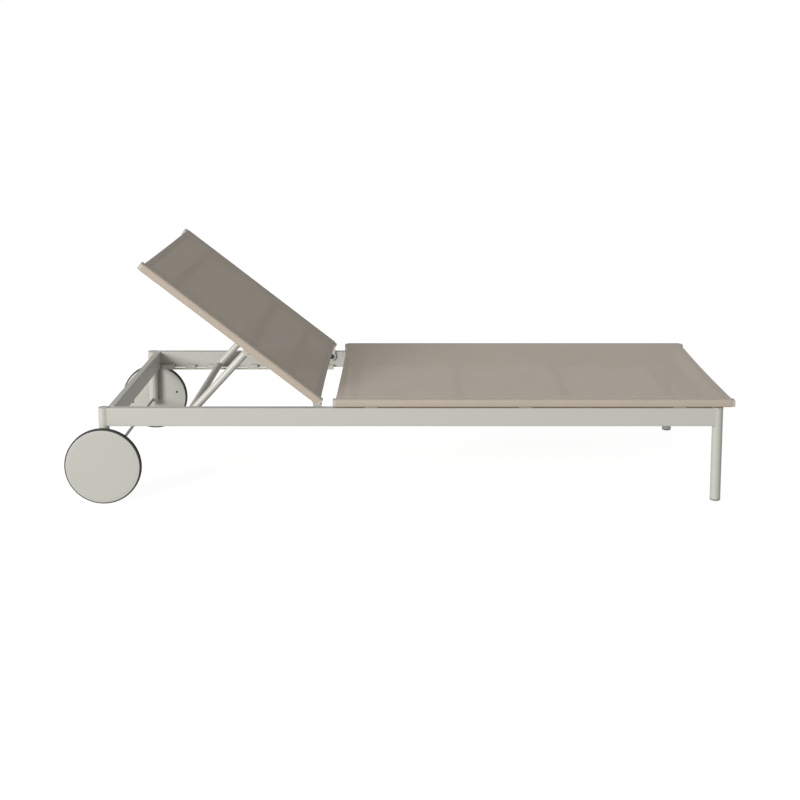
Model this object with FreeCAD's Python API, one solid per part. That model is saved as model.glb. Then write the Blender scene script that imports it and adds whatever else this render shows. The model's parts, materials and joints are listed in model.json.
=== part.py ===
"""Reclining sun lounger: rail frame on legs and wheels, fabric seat, hinged fabric back, prop and racks.

Millimetres. +X points to the foot end, +Y to the sleeper's left, +Z up.
The origin is on the floor under the middle of the whole lounger.
"""
import FreeCAD, Part
import math
import os

Vector = FreeCAD.Vector

# ---- driving dimensions -------------------------------------------------------------------------
# frame
OVERALL_WIDTH = 800.0
FRAME_LENGTH = 1950.0
RAIL_TOP = 300.0
RAIL_HEIGHT = 58.0
RAIL_THICKNESS = 25.5
RAIL_RECESS = 2.5
RAIL_WALL = 2.5
RAIL_ROUNDING = 3.0
LEG_DIAMETER = 33.0
LEG_WALL = 2.5
PLUG_THICKNESS = 4.0
GLIDE_HEIGHT = 7.0
GLIDE_SPIGOT = 14.0
POST_BELOW_AXLE = 16.0
CROSSBAR_THICKNESS = 22.0
CROSSBAR_INSET = 10.0

# wheels
WHEEL_DIAMETER = 240.0
WHEEL_WIDTH = 20.0
WHEEL_GAP = 4.0
TYRE_DEPTH = 4.5
TYRE_INSET = 2.5
TYRE_ROUNDING = 3.0
COVER_THICKNESS = 2.0
RIM_DEPTH = 8.0
WEB_THICKNESS = 5.0
BOSS_RADIUS = 16.0
BUSH_WALL = 3.0
BOSS_SETBACK = 5.0
AXLE_DIAMETER = 10.0
COVER_SCREWS = 4
COVER_SCREW_CIRCLE = 170.0
COVER_SCREW_TURN = 13.0
COVER_SCREW_DIAMETER = 4.0

# seat
SEAT_OVERHANG = 34.0
SEAT_PAD_HEIGHT = 4.0
SEAT_BAR_FROM_HEAD = 61.0
SEAT_BAR_FROM_FOOT = 178.0
SEAT_BAR_COUNT = 4
SEAT_PAD_COUNT = 3
SEAT_PAD_INSET = 120.0
SEAT_PAD_LENGTH = 40.0
STUD_DIAMETER = 6.0

# side profiles, crossbars and fabric, shared by seat and backrest
PROFILE_WIDTH = 30.0
PROFILE_HEIGHT = 22.0
PROFILE_ROUNDING = 6.0
PROFILE_WALL = 2.0
CAP_THICKNESS = 3.5
FABRIC_THICKNESS = 2.0
FABRIC_INSET = 10.0
PANEL_BAR_WIDTH = 30.0
PANEL_BAR_HEIGHT = 14.0
PANEL_BAR_WALL = 1.5

# backrest
BACK_LENGTH = 703.0
BACK_TILT = 38.1
BACK_BAR_FROM_END = 123.0
BACK_HEIGHT_OVER_RAIL = 6.3
AXLE_TO_PIVOT = 666.0
PIVOT_BEHIND_SEAT = 49.5
PIVOT_BELOW_RAIL_TOP = 15.5
PIVOT_TO_BACK_END = 9.5
HINGE_PLATE_THICKNESS = 6.0
HINGE_PLATE_RADIUS = 16.0
HINGE_PLATE_WIDTH = 44.0
HINGE_PLATE_REACH = 40.0
HINGE_BOLT_DIAMETER = 10.0
HINGE_BOLT_HEAD = 18.0
HINGE_BOLT_HEAD_HEIGHT = 4.5
HINGE_SPACER_DIAMETER = 20.0
HEX_KEY = 6.0

# prop
PROP_LENGTH = 284.4
PROP_ALONG_BACK = 287.0
PROP_BELOW_PROFILE = 13.1
PROP_ARM_DIAMETER = 24.0
PROP_ARM_CENTRE = 340.0
PROP_BAR_DIAMETER = 24.0
PROP_PIN_DIAMETER = 8.0
PROP_PIN_HEAD = 14.0
PROP_PIN_HEAD_HEIGHT = 2.5
EAR_THICKNESS = 3.0
EAR_GAP = 1.5
END_PIN_DIAMETER = 10.0

# racks
RACK_LENGTH = 634.0
RACK_THICKNESS = 14.0
RACK_BELOW_RAIL = 6.0
RACK_CREST_BELOW_TOP = 46.5
RACK_REAR_INSET = 39.0
NOTCH_PITCH = 76.5
NOTCH_DEPTH = 13.0
NOTCH_FLOOR = 38.0
NOTCH_RAMP = 12.0
NOTCH_WALL_BEHIND_BAR = 15.0
NOTCHES_BEHIND_REST = 2
NOTCHES_AHEAD_OF_REST = 2
RIVET_DIAMETER = 6.0
RIVET_HEAD = 10.0
RIVET_HEAD_HEIGHT = 2.0
RACK_FRONT_RIVET = 70.0

# fits
RUNNING_FIT = 0.05
SIDE_PLAY = 0.3
PIN_OVER_CREST = 0.5

# ---- places worked out from them ----------------------------------------------------------------
LEG_RADIUS = LEG_DIAMETER / 2
WHEEL_RADIUS = WHEEL_DIAMETER / 2
AXLE_RADIUS = AXLE_DIAMETER / 2
HALF_WIDTH = OVERALL_WIDTH / 2
RAIL_OUTER = HALF_WIDTH - RAIL_RECESS
RAIL_INNER = RAIL_OUTER - RAIL_THICKNESS
RAIL_BOTTOM = RAIL_TOP - RAIL_HEIGHT
LEG_Y = HALF_WIDTH - LEG_RADIUS

TOTAL_LENGTH = WHEEL_RADIUS + FRAME_LENGTH - LEG_RADIUS + SEAT_OVERHANG
REAR_X = WHEEL_RADIUS - TOTAL_LENGTH / 2
FRONT_X = REAR_X + FRAME_LENGTH - LEG_DIAMETER
PIVOT_X = REAR_X + AXLE_TO_PIVOT
PIVOT_Z = RAIL_TOP - PIVOT_BELOW_RAIL_TOP
PIVOT = Vector(PIVOT_X, 0, PIVOT_Z)
SEAT_HEAD_X = PIVOT_X + PIVOT_BEHIND_SEAT
SEAT_FOOT_X = FRONT_X + LEG_RADIUS + SEAT_OVERHANG
SEAT_BOTTOM = RAIL_TOP + SEAT_PAD_HEIGHT
BACK_FOOT_X = PIVOT_X - PIVOT_TO_BACK_END
BACK_HEAD_X = BACK_FOOT_X - BACK_LENGTH
BACK_BOTTOM = RAIL_TOP + BACK_HEIGHT_OVER_RAIL

ALONG_Y = Vector(0, 1, 0)
ORIGIN = Vector(0, 0, 0)


# ---- helpers ------------------------------------------------------------------------------------
def block(x0, x1, y0, y1, z0, z1):
    """A box between two corners."""
    return Part.makeBox(x1 - x0, y1 - y0, z1 - z0, Vector(x0, y0, z0))


def rod_y(x, z, radius, y0, y1):
    """A cylinder along Y."""
    return Part.makeCylinder(radius, y1 - y0, Vector(x, y0, z), ALONG_Y)


def rod_z(x, y, radius, z0, z1):
    """A cylinder along Z."""
    return Part.makeCylinder(radius, z1 - z0, Vector(x, y, z0), Vector(0, 0, 1))


def ring_y(x, z, outer, inner, y0, y1):
    """A washer or sleeve along Y."""
    return rod_y(x, z, outer, y0, y1).cut(rod_y(x, z, inner, y0, y1))


def plate_y(points, y0, y1):
    """A flat plate with an outline of (x, z) points, from y0 to y1."""
    corners = [Vector(x, y0, z) for x, z in points]
    outline = Part.makePolygon(corners + corners[:1])
    return Part.Face(outline).extrude(Vector(0, y1 - y0, 0))


def long_edges(shape, direction):
    """The straight edges of a shape that run along a direction."""
    found = []
    for edge in shape.Edges:
        if len(edge.Vertexes) != 2:
            continue
        run = edge.Vertexes[1].Point.sub(edge.Vertexes[0].Point)
        if run.Length > 0 and abs(run.normalize().dot(direction)) > 0.999:
            found.append(edge)
    return found


def rounded_block(x0, x1, y0, y1, z0, z1, radius, direction):
    """A box with the four edges along a direction rounded."""
    shape = block(x0, x1, y0, y1, z0, z1)
    return shape.makeFillet(radius, long_edges(shape, direction))


def tube_along_x(x0, x1, y0, y1, z0, z1, wall, radius):
    """A rectangular tube along X, open at both ends."""
    along = Vector(1, 0, 0)
    outside = rounded_block(x0, x1, y0, y1, z0, z1, radius, along)
    inner_radius = max(radius - wall, 0.5)
    inside = rounded_block(x0, x1, y0 + wall, y1 - wall, z0 + wall, z1 - wall, inner_radius, along)
    return outside.cut(inside)


def tube_along_y(x0, x1, y0, y1, z0, z1, wall, radius):
    """A rectangular tube along Y, open at both ends."""
    outside = rounded_block(x0, x1, y0, y1, z0, z1, radius, ALONG_Y)
    inner_radius = max(radius - wall, 0.5)
    inside = rounded_block(x0 + wall, x1 - wall, y0, y1, z0 + wall, z1 - wall, inner_radius, ALONG_Y)
    return outside.cut(inside)


def mirrored(shape):
    """The same piece on the sleeper's right, at -Y."""
    return shape.mirror(ORIGIN, ALONG_Y)


def tilted(shape):
    """A piece of the backrest, modelled flat, turned up to its resting tilt."""
    turned = shape.copy()
    turned.rotate(PIVOT, ALONG_Y, BACK_TILT)
    return turned


def group(shapes):
    """Several separate solids in one node."""
    return Part.makeCompound(shapes)


def write(node, shape):
    """Writes one node as a STEP file."""
    shape.exportStep("parts/" + node + ".step")


def write_pair(node, shape):
    """Writes a piece and its mirror image as NODE_left and NODE_right."""
    write(node + "_left", shape)
    write(node + "_right", mirrored(shape))


def both_sides(shapes):
    """The given solids and their mirror images, as one group."""
    return group(shapes + [mirrored(shape) for shape in shapes])


# ---- frame --------------------------------------------------------------------------------------
def side_rail():
    """A rectangular tube whose ends are mouthed to fit round the leg and the post."""
    ends = (REAR_X, FRONT_X)
    rail = tube_along_x(*ends, RAIL_INNER, RAIL_OUTER, RAIL_BOTTOM, RAIL_TOP, RAIL_WALL, RAIL_ROUNDING)
    for x in ends:
        rail = rail.cut(rod_z(x, LEG_Y, LEG_RADIUS, RAIL_BOTTOM, RAIL_TOP))
    rail = rail.cut(rod_y(PIVOT_X, PIVOT_Z, HINGE_BOLT_DIAMETER / 2, RAIL_INNER, RAIL_INNER + RAIL_WALL))
    for x in rivet_places():
        rail = rail.cut(rod_y(x, rivet_height(), RIVET_DIAMETER / 2, RAIL_INNER, RAIL_INNER + RAIL_WALL))
    for x in seat_pad_places():
        rail = rail.cut(rod_z(x, seat_pad_y(), STUD_DIAMETER / 2, RAIL_TOP - RAIL_WALL, RAIL_TOP))
    return max(rail.Solids, key=lambda solid: solid.Volume)


def round_tube(x, bottom):
    """A leg or post, open at both ends."""
    outside = rod_z(x, LEG_Y, LEG_RADIUS, bottom, RAIL_TOP)
    return outside.cut(rod_z(x, LEG_Y, LEG_RADIUS - LEG_WALL, bottom, RAIL_TOP))


def post_bottom():
    """Height of the lower end of the rear posts."""
    return WHEEL_RADIUS - POST_BELOW_AXLE


def rear_post():
    """The short post with the axle hole through it."""
    hole = rod_y(REAR_X, WHEEL_RADIUS, AXLE_RADIUS, LEG_Y - LEG_DIAMETER, LEG_Y + LEG_DIAMETER)
    return round_tube(REAR_X, post_bottom()).cut(hole)


def crossbar(x0, tube_x):
    """A flat tube on edge between the two rails, mouthed round the tubes at its corners."""
    x1 = x0 + CROSSBAR_THICKNESS
    bar = tube_along_y(x0, x1, -RAIL_INNER, RAIL_INNER, RAIL_BOTTOM, RAIL_TOP, RAIL_WALL, RAIL_ROUNDING)
    for y in (-LEG_Y, LEG_Y):
        bar = bar.cut(rod_z(tube_x, y, LEG_RADIUS, RAIL_BOTTOM, RAIL_TOP))
    return max(bar.Solids, key=lambda solid: solid.Volume)


def tube_top_plug(x):
    """A disc let in flush at the top of a leg or post."""
    return rod_z(x, LEG_Y, LEG_RADIUS - LEG_WALL, RAIL_TOP - PLUG_THICKNESS, RAIL_TOP)


def capped_foot(x, floor, height, spigot):
    """A foot as wide as the tube, with a spigot up inside it."""
    foot = rod_z(x, LEG_Y, LEG_RADIUS, floor, floor + height)
    return foot.fuse(rod_z(x, LEG_Y, LEG_RADIUS - LEG_WALL, floor + height, floor + height + spigot))


def make_frame():
    """Rails, legs, posts, crossbars and what closes the tubes."""
    write_pair("side_rail", side_rail())
    write_pair("front_leg", round_tube(FRONT_X, GLIDE_HEIGHT))
    write_pair("rear_post", rear_post())
    write("head_crossbar", crossbar(REAR_X + CROSSBAR_INSET, REAR_X))
    write("foot_crossbar", crossbar(FRONT_X - CROSSBAR_INSET - CROSSBAR_THICKNESS, FRONT_X))
    write("tube_top_plugs", both_sides([tube_top_plug(REAR_X), tube_top_plug(FRONT_X)]))
    write("leg_glides", both_sides([capped_foot(FRONT_X, 0, GLIDE_HEIGHT, GLIDE_SPIGOT)]))
    floor = post_bottom() - PLUG_THICKNESS
    write("rear_post_plugs", both_sides([capped_foot(REAR_X, floor, PLUG_THICKNESS, 6.0)]))


# ---- racks --------------------------------------------------------------------------------------
def prop_pivot():
    """Middle of the prop's pivot line with the backrest at its resting tilt."""
    flat = Vector(PROP_ALONG_BACK, 0, BACK_BOTTOM - PROP_BELOW_PROFILE - PIVOT_Z)
    turn = math.radians(BACK_TILT)
    x = PIVOT_X - flat.x * math.cos(turn) + flat.z * math.sin(turn)
    z = PIVOT_Z + flat.x * math.sin(turn) + flat.z * math.cos(turn)
    return Vector(x, 0, z)


def rack_crest():
    """Height of the tops of the rack teeth."""
    return RAIL_TOP - RACK_CREST_BELOW_TOP


def prop_slope():
    """Angle of the prop arms below the level, in degrees."""
    drop = prop_pivot().z - (rack_crest() + PIN_OVER_CREST + END_PIN_DIAMETER / 2)
    return math.degrees(math.asin(drop / PROP_LENGTH))


def prop_foot():
    """Middle of the prop's lower bar."""
    slope = math.radians(prop_slope())
    return prop_pivot().add(Vector(-math.cos(slope), 0, -math.sin(slope)).multiply(PROP_LENGTH))


def rack_ends():
    """Rear and front ends of a rack along X."""
    rear = REAR_X + RACK_REAR_INSET
    return rear, rear + RACK_LENGTH


def notch_wall(step):
    """Place along X of a notch's upright wall, counted in notches from the resting one."""
    return prop_foot().x - NOTCH_WALL_BEHIND_BAR + step * NOTCH_PITCH


def rivet_places():
    """Places of the rack rivets along X: in every other tooth, and near the front end."""
    half_tooth = (NOTCH_PITCH - NOTCH_FLOOR - NOTCH_RAMP) / 2
    steps = range(-NOTCHES_BEHIND_REST, NOTCHES_AHEAD_OF_REST + 1, 2)
    places = [notch_wall(step) - half_tooth for step in steps]
    return places + [rack_ends()[1] - RACK_FRONT_RIVET]


def rivet_height():
    """Height of the rack rivets, in the solid strip that lies against the rail."""
    return RAIL_BOTTOM + RIVET_HEAD / 2 - RAIL_WALL / 2


def rack():
    """A saw-toothed strip: each notch has an upright wall at the head side and a ramp to the foot."""
    rear, front = rack_ends()
    crest = rack_crest()
    low = RAIL_BOTTOM - RACK_BELOW_RAIL
    strip = block(rear, front, RAIL_INNER - RACK_THICKNESS, RAIL_INNER, low, crest)
    for step in range(-NOTCHES_BEHIND_REST, NOTCHES_AHEAD_OF_REST + 1):
        wall = notch_wall(step)
        floor_end = wall + NOTCH_FLOOR
        ramp_end = floor_end + NOTCH_RAMP
        outline = [(wall, crest - NOTCH_DEPTH), (floor_end, crest - NOTCH_DEPTH),
                   (ramp_end, crest), (ramp_end, crest + 1), (wall, crest + 1)]
        strip = strip.cut(plate_y(outline, RAIL_INNER - RACK_THICKNESS - 1, RAIL_INNER + 1))
    for x in rivet_places():
        hole = rod_y(x, rivet_height(), RIVET_DIAMETER / 2, RAIL_INNER - RACK_THICKNESS, RAIL_INNER)
        strip = strip.cut(hole)
    return strip


def rack_rivet(x):
    """A round-headed rivet through the rack and the rail's inner wall."""
    face = RAIL_INNER - RACK_THICKNESS
    shank = rod_y(x, rivet_height(), RIVET_DIAMETER / 2, face, RAIL_INNER + RAIL_WALL)
    head = rod_y(x, rivet_height(), RIVET_HEAD / 2, face - RIVET_HEAD_HEIGHT, face)
    return head.fuse(shank)


def make_racks():
    """The two racks and their rivets."""
    write_pair("rack", rack())
    write("rack_rivets", both_sides([rack_rivet(x) for x in rivet_places()]))


# ---- wheels -------------------------------------------------------------------------------------
def wheel_y(depth):
    """Y of a plane this far into the left wheel from its inner face."""
    return HALF_WIDTH + WHEEL_GAP + depth


def wheel_rod(radius, start, end):
    """A disc of the left wheel, from one depth to another."""
    return rod_y(REAR_X, WHEEL_RADIUS, radius, wheel_y(start), wheel_y(end))


def wheel_ring(outer, inner, start, end):
    """A ring of the left wheel, from one depth to another."""
    return wheel_rod(outer, start, end).cut(wheel_rod(inner, start, end))


def screw_places():
    """The (x, z) places of the inner cover's screws."""
    radius = COVER_SCREW_CIRCLE / 2
    places = []
    for index in range(COVER_SCREWS):
        angle = math.radians(COVER_SCREW_TURN) + math.tau * index / COVER_SCREWS
        places.append((REAR_X + radius * math.cos(angle), WHEEL_RADIUS + radius * math.sin(angle)))
    return places


DISC_RADIUS = WHEEL_RADIUS - TYRE_DEPTH
BOSS_LENGTH = WHEEL_WIDTH - COVER_THICKNESS - BOSS_SETBACK
BUSH_RADIUS = AXLE_RADIUS + RUNNING_FIT + BUSH_WALL
WEB_START = (WHEEL_WIDTH - WEB_THICKNESS) / 2
SCREW_RADIUS = COVER_SCREW_DIAMETER / 2


def wheel_hub():
    """The moulded core: rim, web, boss and four screw posts."""
    rim = wheel_ring(DISC_RADIUS, DISC_RADIUS - RIM_DEPTH, COVER_THICKNESS, WHEEL_WIDTH - COVER_THICKNESS)
    web = wheel_rod(DISC_RADIUS - RIM_DEPTH / 2, WEB_START, WEB_START + WEB_THICKNESS)
    hub = rim.fuse([web, wheel_rod(BOSS_RADIUS, 0, BOSS_LENGTH)])
    for x, z in screw_places():
        hub = hub.fuse(rod_y(x, z, 3 * SCREW_RADIUS, wheel_y(COVER_THICKNESS), wheel_y(WEB_START + 1)))
        hub = hub.cut(rod_y(x, z, SCREW_RADIUS, wheel_y(COVER_THICKNESS), wheel_y(WEB_START)))
    return hub.cut(wheel_rod(BUSH_RADIUS, 0, BOSS_LENGTH))


def tyre():
    """A solid rubber ring with rounded shoulders."""
    ring = wheel_ring(WHEEL_RADIUS, DISC_RADIUS, TYRE_INSET, WHEEL_WIDTH - TYRE_INSET)
    shoulders = []
    for edge in ring.Edges:
        if hasattr(edge.Curve, "Radius") and abs(edge.Curve.Radius - WHEEL_RADIUS) < 0.01:
            shoulders.append(edge)
    return ring.makeFillet(min(TYRE_ROUNDING, TYRE_DEPTH * 0.8), shoulders)


def inner_cover():
    """The cover beside the post, with a hole round the boss and four screw holes."""
    cover = wheel_ring(DISC_RADIUS - 1.0, BOSS_RADIUS, 0, COVER_THICKNESS)
    for x, z in screw_places():
        cover = cover.cut(rod_y(x, z, SCREW_RADIUS, wheel_y(0), wheel_y(COVER_THICKNESS)))
    return cover


def outer_cover():
    """The plain disc that faces outwards, with a softened edge."""
    cover = wheel_rod(DISC_RADIUS, WHEEL_WIDTH - COVER_THICKNESS, WHEEL_WIDTH)
    edges = [edge for edge in cover.Edges if abs(edge.BoundBox.YMin - wheel_y(WHEEL_WIDTH)) < 0.01]
    return cover.makeFillet(0.8, edges)


def cover_screw(x, z):
    """A pan-head screw into one of the hub's posts."""
    head = rod_y(x, z, 2 * SCREW_RADIUS, wheel_y(-1.5), wheel_y(0))
    return head.fuse(rod_y(x, z, SCREW_RADIUS, wheel_y(0), wheel_y(WEB_START)))


def make_wheels():
    """Both wheels, the axle they share, and the spacers and clips that keep them in place."""
    write_pair("wheel_hub", wheel_hub())
    write_pair("wheel_tyre", tyre())
    write_pair("wheel_outer_cover", outer_cover())
    write_pair("wheel_inner_cover", inner_cover())
    write_pair("wheel_bush", wheel_ring(BUSH_RADIUS, AXLE_RADIUS + RUNNING_FIT, 0, BOSS_LENGTH))
    write_pair("wheel_cover_screws", group([cover_screw(x, z) for x, z in screw_places()]))
    axle_end = wheel_y(WHEEL_WIDTH - COVER_THICKNESS - 1.0)
    write("wheel_axle", rod_y(REAR_X, WHEEL_RADIUS, AXLE_RADIUS, -axle_end, axle_end))
    spacer = wheel_ring(AXLE_RADIUS + 4.0, AXLE_RADIUS, -WHEEL_GAP, -SIDE_PLAY)
    clip = wheel_ring(AXLE_RADIUS + 5.0, AXLE_RADIUS, BOSS_LENGTH + SIDE_PLAY, BOSS_LENGTH + 2.0)
    write("axle_spacers", both_sides([spacer]))
    write("axle_clips", both_sides([clip]))


# ---- fabric panels: what the seat and the backrest share ------------------------------------------
def side_profile(head, foot, bottom):
    """One side profile of a panel, between its end caps."""
    x0 = head + CAP_THICKNESS
    x1 = foot - CAP_THICKNESS
    y0 = HALF_WIDTH - PROFILE_WIDTH
    return tube_along_x(x0, x1, y0, HALF_WIDTH, bottom, bottom + PROFILE_HEIGHT, PROFILE_WALL, PROFILE_ROUNDING)


def end_caps(head, foot, bottom):
    """The caps on the left profile's two ends."""
    y0 = HALF_WIDTH - PROFILE_WIDTH
    top = bottom + PROFILE_HEIGHT
    along = Vector(1, 0, 0)
    caps = []
    for x0 in (head, foot - CAP_THICKNESS):
        caps.append(rounded_block(x0, x0 + CAP_THICKNESS, y0, HALF_WIDTH, bottom, top, PROFILE_ROUNDING, along))
    return caps


def panel_bar(x, bottom):
    """A flat tube across a panel, below the fabric."""
    x0 = x - PANEL_BAR_WIDTH / 2
    x1 = x + PANEL_BAR_WIDTH / 2
    reach = HALF_WIDTH - PROFILE_WIDTH
    return tube_along_y(x0, x1, -reach, reach, bottom, bottom + PANEL_BAR_HEIGHT, PANEL_BAR_WALL, 3.0)


def fabric(head, foot, bottom):
    """The stretched cloth, as a plain sheet on top of the profiles."""
    base = bottom + PROFILE_HEIGHT
    top = base + FABRIC_THICKNESS
    return block(head + FABRIC_INSET, foot - FABRIC_INSET, -HALF_WIDTH, HALF_WIDTH, base, top)


# ---- seat ---------------------------------------------------------------------------------------
def seat_bar_places():
    """Places of the seat's crossbars along X, evenly spaced between the first and the last."""
    first = SEAT_HEAD_X + SEAT_BAR_FROM_HEAD
    last = SEAT_FOOT_X - SEAT_BAR_FROM_FOOT
    step = (last - first) / (SEAT_BAR_COUNT - 1)
    return [first + step * index for index in range(SEAT_BAR_COUNT)]


def seat_pad_places():
    """Places of the pads under the seat along X."""
    first = SEAT_HEAD_X + SEAT_PAD_INSET
    last = FRONT_X - SEAT_PAD_INSET
    step = (last - first) / (SEAT_PAD_COUNT - 1)
    return [first + step * index for index in range(SEAT_PAD_COUNT)]


def seat_pad_y():
    """Middle of the pads across the rail."""
    return RAIL_OUTER - RAIL_THICKNESS / 2


def seat_pad(x):
    """A spacer between rail and seat, with a hole for its stud."""
    y = seat_pad_y()
    half = SEAT_PAD_LENGTH / 2
    wide = RAIL_THICKNESS / 2 - RAIL_WALL
    pad = block(x - half, x + half, y - wide, y + wide, RAIL_TOP, SEAT_BOTTOM)
    return pad.cut(rod_z(x, y, STUD_DIAMETER / 2, RAIL_TOP, SEAT_BOTTOM))


def seat_stud(x):
    """A stud with a head inside the rail and another inside the seat's profile."""
    y = seat_pad_y()
    low = RAIL_TOP - RAIL_WALL
    high = SEAT_BOTTOM + PROFILE_WALL
    heads = [rod_z(x, y, STUD_DIAMETER, low - 3.0, low), rod_z(x, y, STUD_DIAMETER, high, high + 3.0)]
    return rod_z(x, y, STUD_DIAMETER / 2, low, high).fuse(heads)


def make_seat():
    """The fixed fabric panel that carries the sleeper's seat and legs."""
    profile = side_profile(SEAT_HEAD_X, SEAT_FOOT_X, SEAT_BOTTOM)
    for x in seat_pad_places():
        hole = rod_z(x, seat_pad_y(), STUD_DIAMETER / 2, SEAT_BOTTOM, SEAT_BOTTOM + PROFILE_WALL)
        profile = profile.cut(hole)
    write_pair("seat_side", profile)
    write("seat_end_caps", both_sides(end_caps(SEAT_HEAD_X, SEAT_FOOT_X, SEAT_BOTTOM)))
    write("seat_crossbars", group([panel_bar(x, SEAT_BOTTOM) for x in seat_bar_places()]))
    write("seat_fabric", fabric(SEAT_HEAD_X, SEAT_FOOT_X, SEAT_BOTTOM))
    write("seat_pads", both_sides([seat_pad(x) for x in seat_pad_places()]))
    write("seat_studs", both_sides([seat_stud(x) for x in seat_pad_places()]))


# ---- backrest -----------------------------------------------------------------------------------
def hinge_plate_y():
    """Inner and outer face of the left hinge plate."""
    outer = HALF_WIDTH - PROFILE_WIDTH
    return outer - HINGE_PLATE_THICKNESS, outer


def hinge_plate():
    """The plate welded to the profile's inner face that reaches down to the pivot."""
    y0, y1 = hinge_plate_y()
    radius = HINGE_PLATE_RADIUS
    top = PIVOT_Z + HINGE_PLATE_REACH
    right = PIVOT_X - PIVOT_TO_BACK_END - CAP_THICKNESS
    outline = [(PIVOT_X - radius, PIVOT_Z), (PIVOT_X + radius, PIVOT_Z),
               (right, top), (right - HINGE_PLATE_WIDTH, top)]
    plate = plate_y(outline, y0, y1).fuse(rod_y(PIVOT_X, PIVOT_Z, radius, y0, y1)).removeSplitter()
    return plate.cut(rod_y(PIVOT_X, PIVOT_Z, HINGE_BOLT_DIAMETER / 2 + RUNNING_FIT, y0, y1))


def hinge_bolt():
    """The bolt from the rail's inner wall through the hinge plate, with a socket in its head."""
    y0 = hinge_plate_y()[0]
    radius = HINGE_BOLT_DIAMETER / 2
    face = y0 - SIDE_PLAY
    shank = rod_y(PIVOT_X, PIVOT_Z, radius, face, RAIL_INNER + RAIL_WALL)
    nut = rod_y(PIVOT_X, PIVOT_Z, 1.8 * radius, RAIL_INNER + RAIL_WALL, RAIL_INNER + RAIL_WALL + 5.0)
    head = rod_y(PIVOT_X, PIVOT_Z, HINGE_BOLT_HEAD / 2, face - HINGE_BOLT_HEAD_HEIGHT, face)
    corner = HEX_KEY / math.sqrt(3)
    outline = []
    for index in range(6):
        angle = math.tau * index / 6
        outline.append((PIVOT_X + corner * math.cos(angle), PIVOT_Z + corner * math.sin(angle)))
    socket = plate_y(outline, face - HINGE_BOLT_HEAD_HEIGHT, face - HINGE_BOLT_HEAD_HEIGHT / 4)
    return head.fuse([shank, nut]).cut(socket)


def hinge_spacer():
    """The washer between the rail and the hinge plate."""
    y1 = hinge_plate_y()[1]
    radius = HINGE_BOLT_DIAMETER / 2
    return ring_y(PIVOT_X, PIVOT_Z, HINGE_SPACER_DIAMETER / 2, radius, y1 + SIDE_PLAY, RAIL_INNER)


def back_bar_places():
    """Places of the backrest's crossbars along X when it lies flat: head, prop and foot."""
    return [BACK_HEAD_X + BACK_BAR_FROM_END, PIVOT_X - PROP_ALONG_BACK, BACK_FOOT_X - BACK_BAR_FROM_END]


def ear_planes():
    """Inner faces of the two ears beside the left prop arm."""
    half = PROP_ARM_DIAMETER / 2 + EAR_GAP
    return PROP_ARM_CENTRE - half - EAR_THICKNESS, PROP_ARM_CENTRE + half


def prop_ear(y0):
    """A round-ended ear under the middle crossbar, modelled flat."""
    x = PIVOT_X - PROP_ALONG_BACK
    z = BACK_BOTTOM - PROP_BELOW_PROFILE
    half = PANEL_BAR_WIDTH / 2 - 3.0
    y1 = y0 + EAR_THICKNESS
    ear = block(x - half, x + half, y0, y1, z, BACK_BOTTOM).fuse(rod_y(x, z, half, y0, y1))
    return ear.removeSplitter().cut(rod_y(x, z, PROP_PIN_DIAMETER / 2, y0, y1))


def prop_pin():
    """The pivot pin through both ears and the arm, modelled flat."""
    x = PIVOT_X - PROP_ALONG_BACK
    z = BACK_BOTTOM - PROP_BELOW_PROFILE
    low, high = ear_planes()
    high += EAR_THICKNESS
    shank = rod_y(x, z, PROP_PIN_DIAMETER / 2, low, high)
    heads = [rod_y(x, z, PROP_PIN_HEAD / 2, low - PROP_PIN_HEAD_HEIGHT, low),
             rod_y(x, z, PROP_PIN_HEAD / 2, high, high + PROP_PIN_HEAD_HEIGHT)]
    return shank.fuse(heads)


def make_backrest():
    """The hinged fabric panel and everything that turns with it."""
    write_pair("back_side", tilted(side_profile(BACK_HEAD_X, BACK_FOOT_X, BACK_BOTTOM)))
    caps = [tilted(cap) for cap in end_caps(BACK_HEAD_X, BACK_FOOT_X, BACK_BOTTOM)]
    write("back_end_caps", both_sides(caps))
    write("back_crossbars", group([tilted(panel_bar(x, BACK_BOTTOM)) for x in back_bar_places()]))
    write("back_fabric", tilted(fabric(BACK_HEAD_X, BACK_FOOT_X, BACK_BOTTOM)))
    write_pair("hinge_plate", tilted(hinge_plate()))
    write("hinge_bolts", both_sides([hinge_bolt()]))
    write("hinge_spacers", both_sides([hinge_spacer()]))
    write("prop_ears", both_sides([tilted(prop_ear(y0)) for y0 in ear_planes()]))
    write("prop_pins", both_sides([tilted(prop_pin())]))


# ---- prop ---------------------------------------------------------------------------------------
def sloped(shape):
    """A piece of the prop, modelled level from the origin to -X, turned down and moved to its pivot."""
    turned = shape.copy()
    turned.rotate(ORIGIN, ALONG_Y, -prop_slope())
    turned.translate(prop_pivot())
    return turned


def prop_arm():
    """A round arm with a rounded eye at each end."""
    radius = PROP_ARM_DIAMETER / 2
    y0 = PROP_ARM_CENTRE - radius
    y1 = PROP_ARM_CENTRE + radius
    foot = Vector(-PROP_LENGTH, PROP_ARM_CENTRE, 0)
    arm = Part.makeCylinder(radius, PROP_LENGTH, foot, Vector(1, 0, 0))
    arm = arm.fuse([rod_y(0, 0, radius, y0, y1), rod_y(-PROP_LENGTH, 0, radius, y0, y1)])
    return arm.cut(rod_y(0, 0, PROP_PIN_DIAMETER / 2 + RUNNING_FIT, y0, y1))


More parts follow.
